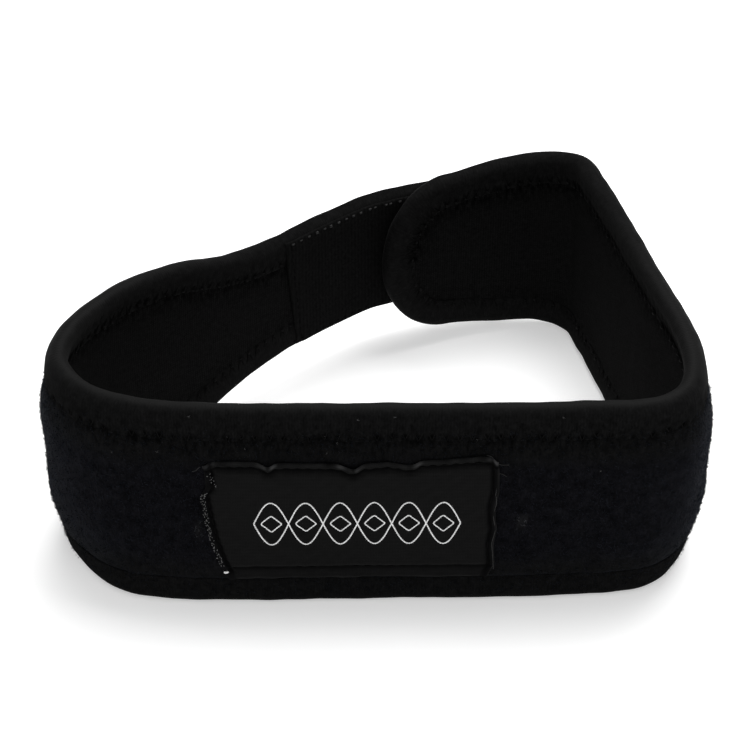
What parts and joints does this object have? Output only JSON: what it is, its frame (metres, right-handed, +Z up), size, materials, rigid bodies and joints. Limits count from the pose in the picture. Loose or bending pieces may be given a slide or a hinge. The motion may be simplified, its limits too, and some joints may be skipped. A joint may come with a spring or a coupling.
{
  "type": "patella strap",
  "caption": "Closed knee strap of padded band with loop pile outside, a folded edge tape, a woven label in front, and a hook end behind a round tab.",
  "frame": {"origin": "on the floor, below the middle of the strap's bounding box", "axes": "+Z up from the lower edge to the upper one, the label faces -Y, and +X is to the right for someone who looks at the label"},
  "size_m": [0.1416, 0.119, 0.05],
  "materials": {
    "foam": "matt foam rubber, hidden",
    "loop_pile": "dull napped loop pile, bluish black",
    "lining": "smooth matt knitted cloth",
    "tape": "soft stretch tape with a faint sheen",
    "hook_cloth": "matt cloth set with fine hooks",
    "label": "satin woven cloth, charcoal"
  },
  "bodies": {
    "root": {"foam_sheet": "foam", "loop_pile_face": "loop_pile", "knitted_lining": "lining", "edge_tape": "tape", "hook_patch": "hook_cloth", "woven_label": "label"}
  },
  "joints": []
}
